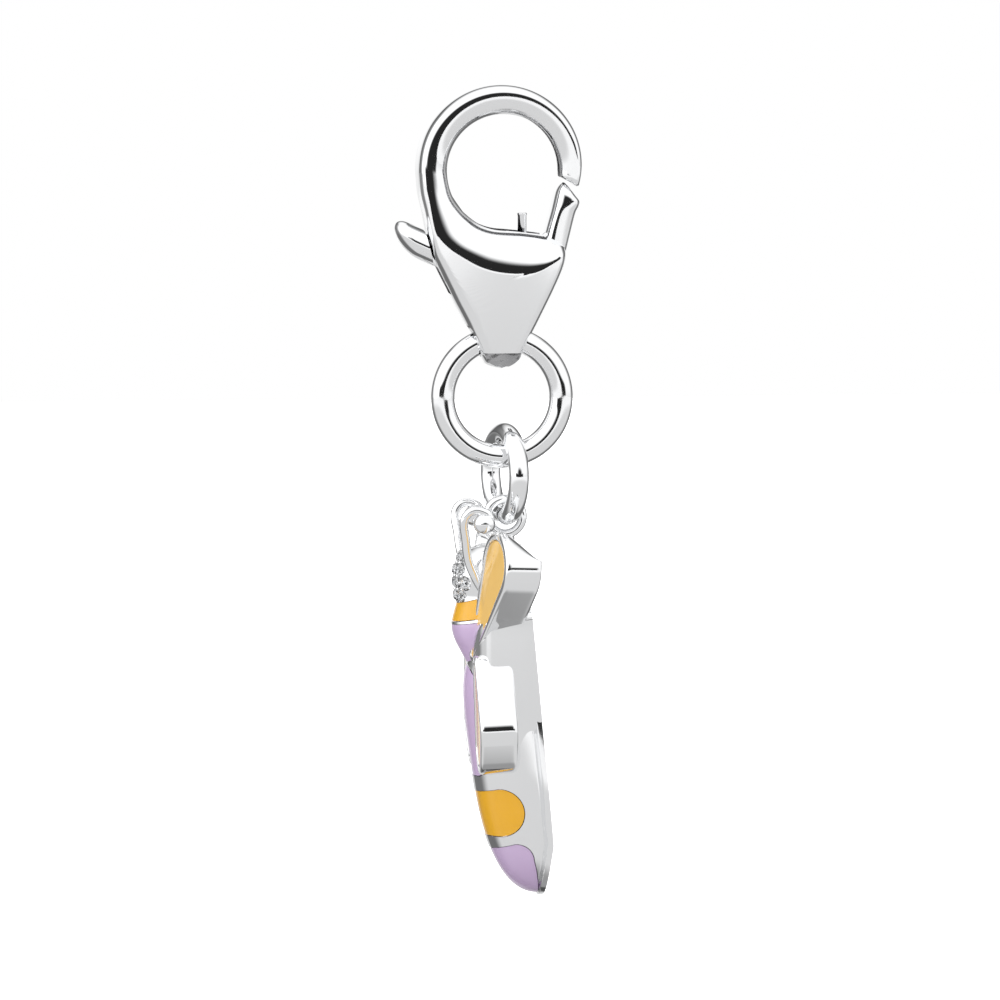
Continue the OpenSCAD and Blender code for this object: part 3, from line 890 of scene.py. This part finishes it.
def abdomenCase(v):
    # the metal outside: round in front, flat behind, with a raised edge and a groove beside it
    rings = []
    for h in abdomenHeights(v):
        low, high = 0.0, pi
        for _ in range(22):  # where this ring meets the back
            middle = (low + high) / 2
            x, y, z = abdomenPoint(h, middle, 0.0, v)
            low, high = (middle, high) if beforeBack(x, z, v) > v["backGap"] else (low, middle)
        half = []
        for j in range(v["sideSteps"] + 1):
            angle = low * (1 - (1 - j / v["sideSteps"]) ** 2.2)
            x, y, z = abdomenPoint(h, angle, 0.0, v)
            ahead = beforeBack(x, z, v)
            share = smoothStep(-7.2, -8.4, z)
            rise = v["flangeRise"] * (1 - smoothStep(v["flange"] - 0.05, v["flange"], ahead))
            groove = v["grooveDepth"] * exp(-((ahead - v["flange"] - 0.05) / 0.05) ** 2)
            half.append(abdomenPoint(h, angle, (groove - rise) * share, v))
        a, b = Vector(half[-1]), Vector((half[-1][0], -half[-1][1], half[-1][2]))
        ring = half + [tuple(a.lerp(b, k / v["backSteps"])) for k in range(1, v["backSteps"])]
        ring += [(x, -y, z) for x, y, z in half[:0:-1]]
        rings.append([inBee(p) for p in ring])
    return skinMesh(rings)


def backCutter(v, ahead=0.0):
    # everything behind the flat back and the turned-in tail
    (bx, bz), (tx, tz) = v["back"], v["tailBack"]
    lean, tailLean = tan(radians(v["backLean"])), tan(radians(v["tailBackLean"]))
    cross = (tx - bx - tz * tailLean - bz * lean) / (-lean - tailLean)
    outline = [(bx - (3.0 - bz) * lean - ahead, 3.0), (bx - (cross - bz) * lean - ahead, cross),
               (tx + (-18.0 - tz) * tailLean - ahead, -18.0), (8.0, -18.0), (8.0, 3.0)]
    return newObject("backCutter", [extrudedInBee(outline, 6.0)])


def fillCells(whole, shellAt, names, enamelLook):
    # sinks each cell into the metal and makes the enamel that lies in it
    enamel = {}
    for name in names:
        core = shellAt(beeValues["pocket"])
        pocket = cellPrism(name, 0.0)
        combine(pocket, core)
        combine(whole, pocket)
        fill = shellAt(beeValues["enamelTop"])
        combine(fill, cellPrism(name, -beeValues["gap"]), "INTERSECT")
        combine(fill, shellAt(beeValues["enamelBottom"]))
        fill.data.materials.clear()
        fill.data.materials.append(finishes[enamelLook[name]])
        smoothShade(fill, 35)
        enamel[name] = fill
    return enamel


torsoValues = {
    "x": -0.6,
    "rows": [
        (-7.20, 0.45), (-6.70, 0.82), (-6.15, 1.10), (-5.70, 1.34), (-5.30, 1.54), (-4.95, 1.65), (-4.60, 1.69),
        (-4.20, 1.62), (-3.75, 1.50), (-3.40, 1.42), (-3.05, 1.45), (-2.60, 1.50), (-2.15, 1.46), (-1.75, 1.30),
        (-1.45, 1.02), (-1.25, 0.62), (-1.19, 0.05)],
    "middle": -3.65,
    "half": 2.4,
    "steps": 5,
    "around": 96,
    "seatRadius": 0.32,
    "seatDepth": 0.24,
    "beadSpan": 0.95,        # a bead sits between two stones that are nearer than this
    "beadRise": 0.06,
    "beadRadius": 0.085,
}
# columns: height, head's radius there, lean of its surface, count of stones
stoneRows = [(-1.72, 1.28, 32, 2), (-2.25, 1.47, 12, 3), (-2.80, 1.48, -3, 4), (-3.34, 1.43, -4, 3)]
stonePitch = 25


def torsoMesh(inset, v):
    rings = []
    for z, r in [(-7.30, 0.10)] + curveThrough(v["rows"], v["steps"]):
        zz = z - inset * (z - v["middle"]) / v["half"]
        rr = max(0.03, r - inset)
        rings.append([inBee((v["x"] - x, -y, zz)) for x, y in circle(rr, v["around"])])
    return skinMesh(rings)


def stonePlaces():
    places = []
    for height, reach, lean, count in stoneRows:
        for k in range(count):
            turn = radians(180 + (k - (count - 1) / 2) * stonePitch)
            tilt = radians(lean)
            out = Vector((cos(turn) * cos(tilt), sin(turn) * cos(tilt), sin(tilt)))
            places.append((Vector((torsoValues["x"] + reach * cos(turn), reach * sin(turn), height)), out))
    return places


def seatCutter(point, out, v):
    side = out.orthogonal().normalized()
    other = out.cross(side)
    rings = []
    for share, rise in ((0.35, -v["seatDepth"]), (1.0, -0.03), (1.0, 0.4)):
        r = v["seatRadius"] * share
        rings.append([Vector(inBee(point + out * rise + side * r * cos(a) + other * r * sin(a)))
                      for a in fullTurn(20)])
    return newObject("seatCutter", [skinMesh(rings)])


wingValues = {
    "rootZ": -5.8,
    "rim": 0.36,
    "outlineSteps": 144,
    "shoulderTop": -1.05,
    "shoulderEnd": -1.50,
    "shoulderStart": 0.30,
    "shoulderRun": 1.20,
    "upper": {"frontX": -1.81, "sweep": 15.0, "tilt": 2.9, "thickness": 1.62, "backEdge": 0.20},
    "lower": {"frontX": -1.52, "sweep": 0.0, "tilt": -2.6, "thickness": 1.6, "backEdge": 0.24},
}
# columns: y, z, radius, share of an inset that the circle takes
wingCircles = {
    "upper": [(1.15, -5.75, 0.35, 0.6), (3.25, -1.92, 1.5, 1.0)],
    "lower": [(1.9, -6.35, 0.6, 0.8), (2.2, -8.85, 1.35, 1.0), (1.95, -9.6, 1.2, 1.0)],
}


def wingOutline(name, inset, v):
    # the outline stretched round the wing's circles
    points = []
    for a in fullTurn(v["outlineSteps"]):
        c, s = cos(a), sin(a)
        best = max(wingCircles[name], key=lambda q: q[0] * c + q[1] * s + max(0.03, q[2] - inset * q[3]))
        r = max(0.03, best[2] - inset * best[3])
        points.append((best[0] + r * c, best[1] + r * s))
    return points


def wingPoint(name, y, z, depth, mirror, v):
    # tilts about the wings' root height and sweeps back towards the wing's end
    wing = v[name]
    tilt, sweep = radians(wing["tilt"]), radians(-wing["sweep"])
    x, yy, zz = depth, y, z - v["rootZ"]
    x, zz = x * cos(tilt) + zz * sin(tilt), -x * sin(tilt) + zz * cos(tilt)
    x, yy = x * cos(sweep) - yy * sin(sweep), x * sin(sweep) + yy * cos(sweep)
    return inBee((x + wing["frontX"], -yy if mirror else yy, zz + v["rootZ"]))


def shoulder(z, depth, v):
    # a slope takes the top off the upper wing, growing from its front edge back
    share = max(0.0, min(1.0, (depth - v["shoulderStart"]) / v["shoulderRun"]))
    crease = v["shoulderTop"] + (v["shoulderEnd"] - v["shoulderTop"]) * share
    return crease + (z - crease) * (1 - 0.94 * share) if z > crease else z


def wingMesh(name, profile, mirror, v):
    rings = []
    for inset, depth in profile:
        outline = wingOutline(name, inset, v)
        if name == "upper":
            outline = [(y, shoulder(z, depth, v)) for y, z in outline]
        rings.append([wingPoint(name, y, z, depth, mirror, v) for y, z in outline])
    return skinMesh(rings)


def makeWing(name, mirror, v):
    t, rim, b = v[name]["thickness"], v["rim"], v[name]["backEdge"]
    # inset and depth, from the cell's floor over the rim and down the side
    profile = [(rim + 0.2, 0.30), (rim + 0.02, 0.29), (rim + 0.005, 0.05), (rim - 0.015, 0.012),
               (rim - 0.05, 0.0), (0.14, 0.0), (0.10, 0.008), (0.055, 0.035), (0.02, 0.08), (0.0, 0.15)]
    profile += [(0.0, 0.15 + (t - b - 0.15) * k / 12) for k in range(1, 13)]
    profile += [(b * 0.85 * (1 - cos(a)), t - b + b * sin(a)) for a in (0.35, 0.7, 1.05, 1.35, 1.57)]
    return newObject("wing", [wingMesh(name, profile, mirror, v)])


def makeWingEnamel(name, mirror, side, v):
    rim = v["rim"] + 0.02
    profile = [(rim + 0.2, 0.26), (rim, 0.25), (rim, 0.06), (rim + 0.03, 0.045), (rim + 0.1, 0.038),
               (rim + 0.2, 0.032)]
    piece = newObject(name + "WingEnamel_" + side, [wingMesh(name, profile, mirror, v)], "wing")
    finishPiece(piece, "bee", name + "_wing_enamel_" + side)


# columns of the plate's edge from the top down: share of the half width, height
plateEdge = [
    (0.45, -3.60), (0.80, -3.76), (0.98, -3.98), (1.022, -4.25), (1.018, -4.60), (0.982, -7.0), (0.944, -9.40),
    (0.90, -10.05), (0.76, -10.50), (0.55, -10.75), (0.28, -10.86)]
# columns from the front back: x, half width, share of the height, height that the share keeps in place
plateRows = [
    (-1.45, 1.25, 0.45, -5.6), (-1.30, 1.80, 0.60, -5.6), (-1.10, 2.15, 0.78, -5.4), (-0.90, 2.42, 0.92, -5.0),
    (-0.70, 2.50, 1.0, -4.4), (0.15, 2.50, 0.966, -3.6), (0.75, 2.49, 0.89, -3.6), (1.08, 2.48, 0.834, -3.6),
    (1.75, 2.44, 0.70, -3.6)]


def makePlate():
    rings = []
    edge = curveThrough(plateEdge, 4)
    for x, half, share, level in curveThrough(plateRows, 4):
        side = [(e * half, level + (z - level) * share) for e, z in edge]
        rings.append([inBee((x, -y, z)) for y, z in side] + [inBee((x, y, z)) for y, z in reversed(side)])
    return newObject("plate", [skinMesh(rings)])


antennaValues = {"wire": 0.19, "ball": (-1.07, 2.0, -0.19), "ballRadius": 0.47}
# columns: x, y, z from the head to the ball
antennaRows = [
    (-1.00, 1.10, -3.20), (-1.42, 1.42, -2.45), (-1.70, 1.52, -1.75), (-1.83, 1.72, -0.85),
    (-1.92, 1.90, -0.20), (-1.78, 1.97, 0.20), (-1.42, 2.00, 0.38), (-1.00, 2.00, 0.25), (-0.84, 2.00, 0.05)]


def antennaMeshes(mirror, v):
    side = -1 if mirror else 1
    path = [inBee((x, side * y, z)) for x, y, z in curveThrough(antennaRows, 7)]
    x, y, z = v["ball"]
    return [tubeMesh(path, v["wire"], 20), ballMesh(inBee((x, side * y, z)), v["ballRadius"], 36, 24)]


loopValues = {"height": -0.06, "radius": 0.74, "wire": 0.2}
# columns of the loop's post: radius, height
postRows = [(0.42, -1.7), (0.42, -0.95), (0.38, -0.87), (0.30, -0.85)]


def loopMeshes(v):
    post = skinMesh([[inBee((x, y, z)) for x, y in circle(r, 40)] for r, z in postRows])
    return [ringMesh(inBee((0, 0, v["height"])), 0.0, v["radius"], v["wire"], 72, 24), post]


def beadMeshes(places, v):
    # small beads of metal hold the stones
    beads = []
    for i, (a, outA) in enumerate(places):
        for b, outB in places[i + 1:]:
            if (a - b).length < v["beadSpan"]:
                centre = (a + b) / 2 + (outA + outB).normalized() * v["beadRise"]
                beads.append(ballMesh(inBee(centre), v["beadRadius"], 12, 8))
    return beads


# heights and shares of the radius in a stone
stoneValues = {
    "radius": 0.27,
    "sides": 8,
    "table": (0.56, 0.16),
    "kites": (0.82, 0.10),
    "girdle": 0.035,
    "tip": -0.22,
}


def stoneMesh(point, out, v):
    # a round brilliant: table, star and kite facets, girdle and pavilion
    r, n = v["radius"], v["sides"]
    side = out.orthogonal().normalized()
    other = out.cross(side)

    def at(radius, height, turn):
        return tuple(Vector(inBee(point)) + out * height
                     + side * radius * cos(turn) + other * radius * sin(turn))

    (tableShare, tableRise), (kiteShare, kiteRise) = v["table"], v["kites"]
    vertices = [at(r * tableShare, tableRise, 2 * pi * k / n) for k in range(n)]
    vertices += [at(r * kiteShare, kiteRise, 2 * pi * (k + 0.5) / n) for k in range(n)]
    for height in (v["girdle"], 0.0):
        vertices += [at(r, height, pi * k / n) for k in range(2 * n)]
    vertices.append(at(0.0, v["tip"], 0.0))
    kite, girdle, low, tip = n, 2 * n, 4 * n, 6 * n
    faces = [tuple(range(n))]
    for k in range(n):
        after = (k + 1) % n
        a, b, middle = girdle + 2 * k, girdle + (2 * k + 2) % (2 * n), girdle + 2 * k + 1
        faces += [(k, kite + k, after), (k, a, kite + k), (kite + k, b, after), (a, middle, kite + k),
                  (middle, b, kite + k)]
    for k in range(2 * n):
        after = (k + 1) % (2 * n)
        faces += [(girdle + k, low + k, low + after, girdle + after), (low + k, tip, low + after)]
    return vertices, faces


def makeBee():
    look = {"upper": "lilac", "middle": "yellow", "tip": "lilac",
            "yellowThorax": "yellow", "lilacThorax": "lilac"}
    v = abdomenValues

    def abdomenAt(inset):
        return newObject("abdomenShell", [abdomenMesh(inset, v)])

    def torsoAt(inset):
        return newObject("torsoShell", [torsoMesh(inset, torsoValues)])

    abdomen = newObject("abdomen", [abdomenCase(v)])
    enamel = fillCells(abdomen, abdomenAt, ("upper", "middle", "tip"), look)
    for name in ("middle", "tip"):
        combine(enamel[name], backCutter(v, beeValues["gap"]))
    torso = torsoAt(0.0)
    enamel.update(fillCells(torso, torsoAt, ("yellowThorax", "lilacThorax"), look))
    places = stonePlaces()
    for point, out in places:
        combine(torso, seatCutter(point, out, torsoValues))
    print("bee's body made")
    plate = makePlate()
    combine(torso, backCutter(v, 2 * v["backGap"]))
    combine(plate, backCutter(v))
    parts = [abdomen, torso, plate]
    for mirror in (False, True):
        for name in ("upper", "lower"):
            parts.append(makeWing(name, mirror, wingValues))
    small = beadMeshes(places, torsoValues) + loopMeshes(loopValues)
    for mirror in (False, True):
        small += antennaMeshes(mirror, antennaValues)
    parts.append(newObject("smallParts", small))
    casting = mergeObjects("beeCasting", parts)
    smoothShade(casting, 40)
    finishPiece(casting, "bee", "bee_casting")
    for name, node in (("upper", "abdomen_enamel_upper"), ("middle", "abdomen_enamel_middle"),
                       ("tip", "abdomen_enamel_tip"), ("yellowThorax", "thorax_enamel_yellow"),
                       ("lilacThorax", "thorax_enamel_lilac")):
        enamel[name].name = name + "Enamel"
        finishPiece(enamel[name], "bee", node)
    for mirror, side in ((False, "left"), (True, "right")):
        for name in ("upper", "lower"):
            makeWingEnamel(name, mirror, side, wingValues)
    for i, (point, out) in enumerate(places):
        stone = newObject("headStone_%02d" % (i + 1), [stoneMesh(point, out, stoneValues)], "stone", 1.0)
        finishPiece(stone, "bee", "head_stone_%d" % (i + 1))


makeBee()
print("bee made")


def makeFloor(v):
    z = cadBox[0].z - v["floorDrop"] * mm
    size = v["floorSize"] * mm / 2
    mesh = bpy.data.meshes.new("floor")
    corners = [(-size, -size, z), (size, -size, z), (size, size, z), (-size, size, z)]
    mesh.from_pydata(corners, [], [(0, 1, 2, 3)])
    material, tree, shader = newMaterial("paleFloor")
    place = addNode(tree, "ShaderNodeTexCoord").outputs["Object"]
    flat = addNode(tree, "ShaderNodeVectorMath", {0: place, 1: (1.0, 1.0, 0.0)}, operation="MULTIPLY")
    reach = addNode(tree, "ShaderNodeVectorMath", {0: flat.outputs[0]}, operation="LENGTH").outputs["Value"]
    # the table's colour holds painted shade, which the metal shows in its reflections: darker under the charm
    # and behind it, lighter far off
    shade = stepNode(tree, reach, *[r * mm for r in v["floorShade"]])
    far = stepNode(tree, reach, *[r * mm for r in v["floorBright"]])
    grain = addNode(tree, "ShaderNodeTexNoise", {"Scale": 300.0, "Detail": 3.0}).outputs["Fac"]
    level = mathNode(tree, "MULTIPLY_ADD", grain, v["floorGrain"], v["floorTone"])
    level = mathNode(tree, "MULTIPLY_ADD", far, v["shadeFadeGain"], level)
    # sine of the direction from the charm, 1 straight behind it
    depth = addNode(tree, "ShaderNodeSeparateXYZ", {"Vector": place}).outputs["Y"]
    turn = mathNode(tree, "DIVIDE", depth, mathNode(tree, "MAXIMUM", reach, mm))
    behind = product(tree, stepNode(tree, turn, *v["floorBehind"]), stepNode(tree, turn, *v["floorStrip"]))
    level = product(tree, level, mathNode(tree, "MULTIPLY_ADD", behind, -v["behindShadeLoss"], 1.0),
                    mathNode(tree, "MULTIPLY_ADD", shade, 1 - v["shadeTone"], v["shadeTone"]))
    seen = addNode(tree, "ShaderNodeLightPath").outputs["Is Camera Ray"]
    setInputs(tree, shader, {"Base Color": level, "Roughness": 0.9, "Emission Strength": seen,
                             "Emission Color": (1.0, 1.0, 1.0, 1.0)})
    mesh.materials.append(material)
    floor = bpy.data.objects.new("floor", mesh)
    bpy.context.scene.collection.objects.link(floor)


makeFloor(studioValues)
print("floor made")
